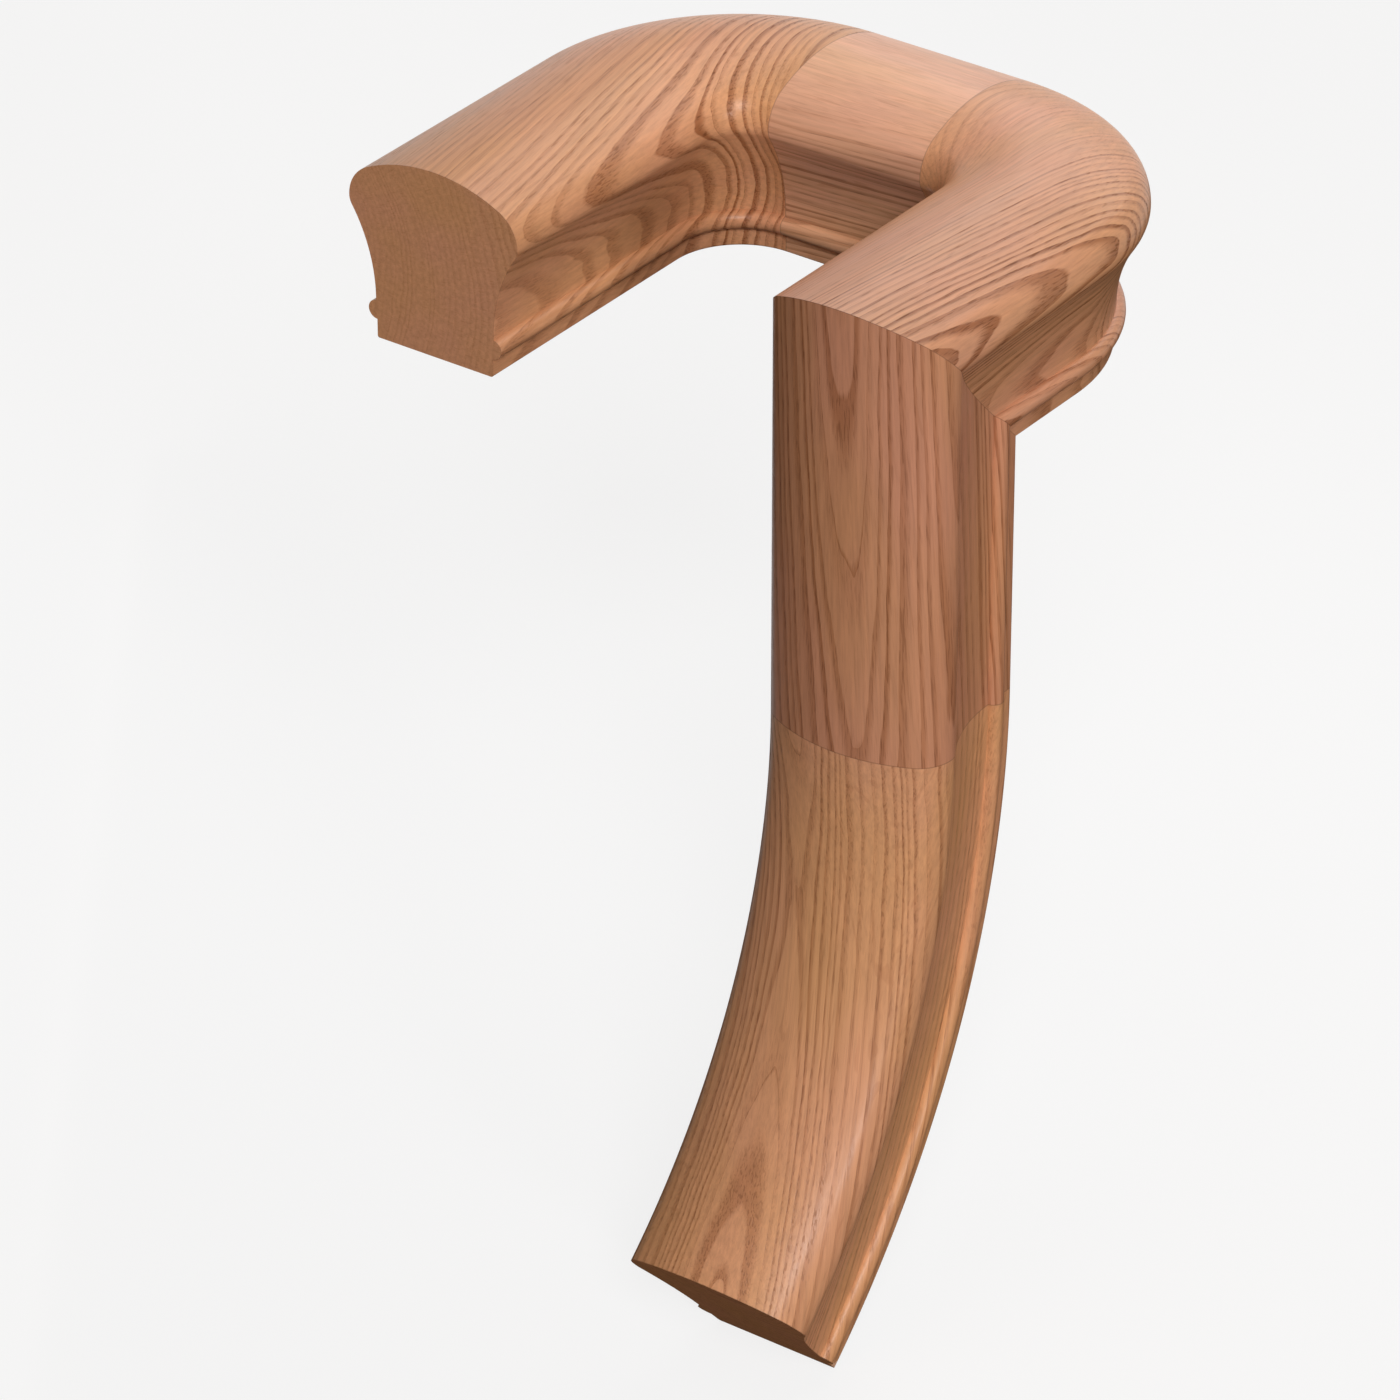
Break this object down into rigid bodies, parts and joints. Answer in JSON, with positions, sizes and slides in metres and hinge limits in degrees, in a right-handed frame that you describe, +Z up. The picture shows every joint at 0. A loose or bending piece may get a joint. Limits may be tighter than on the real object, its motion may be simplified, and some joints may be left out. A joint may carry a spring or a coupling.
{
  "type": "handrail gooseneck fitting",
  "caption": "Wooden handrail fitting that turns a level moulded rail half way round and drops it through a mitre and an up-easing to meet a raking rail below.",
  "frame": {"origin": "middle of the level end's joint face, on the rail's centre line at half its height", "axes": "+Y runs into the level leg, +Z is up towards the crown of the level rail, and +X points across to the drop"},
  "size_m": [0.1905, 0.217, 0.3148],
  "materials": {
    "level_turn_oak": "sanded red oak, satin clear coat",
    "spacer_oak": "sanded red oak, satin clear coat",
    "drop_turn_oak": "sanded red oak, satin clear coat",
    "vertical_drop_oak": "sanded red oak, satin clear coat",
    "up_easing_oak": "sanded red oak, satin clear coat",
    "dowel_hardwood": "plain fluted birch, unfinished"
  },
  "bodies": {
    "root": {"level_turn_block": "level_turn_oak", "spacer_block": "spacer_oak", "drop_turn_block": "drop_turn_oak", "vertical_drop": "vertical_drop_oak", "up_easing": "up_easing_oak", "first_turn_dowel_a": "dowel_hardwood", "first_turn_dowel_b": "dowel_hardwood", "second_turn_dowel_a": "dowel_hardwood", "second_turn_dowel_b": "dowel_hardwood", "mitre_dowel_a": "dowel_hardwood", "mitre_dowel_b": "dowel_hardwood", "easing_dowel_a": "dowel_hardwood", "easing_dowel_b": "dowel_hardwood"}
  },
  "joints": []
}
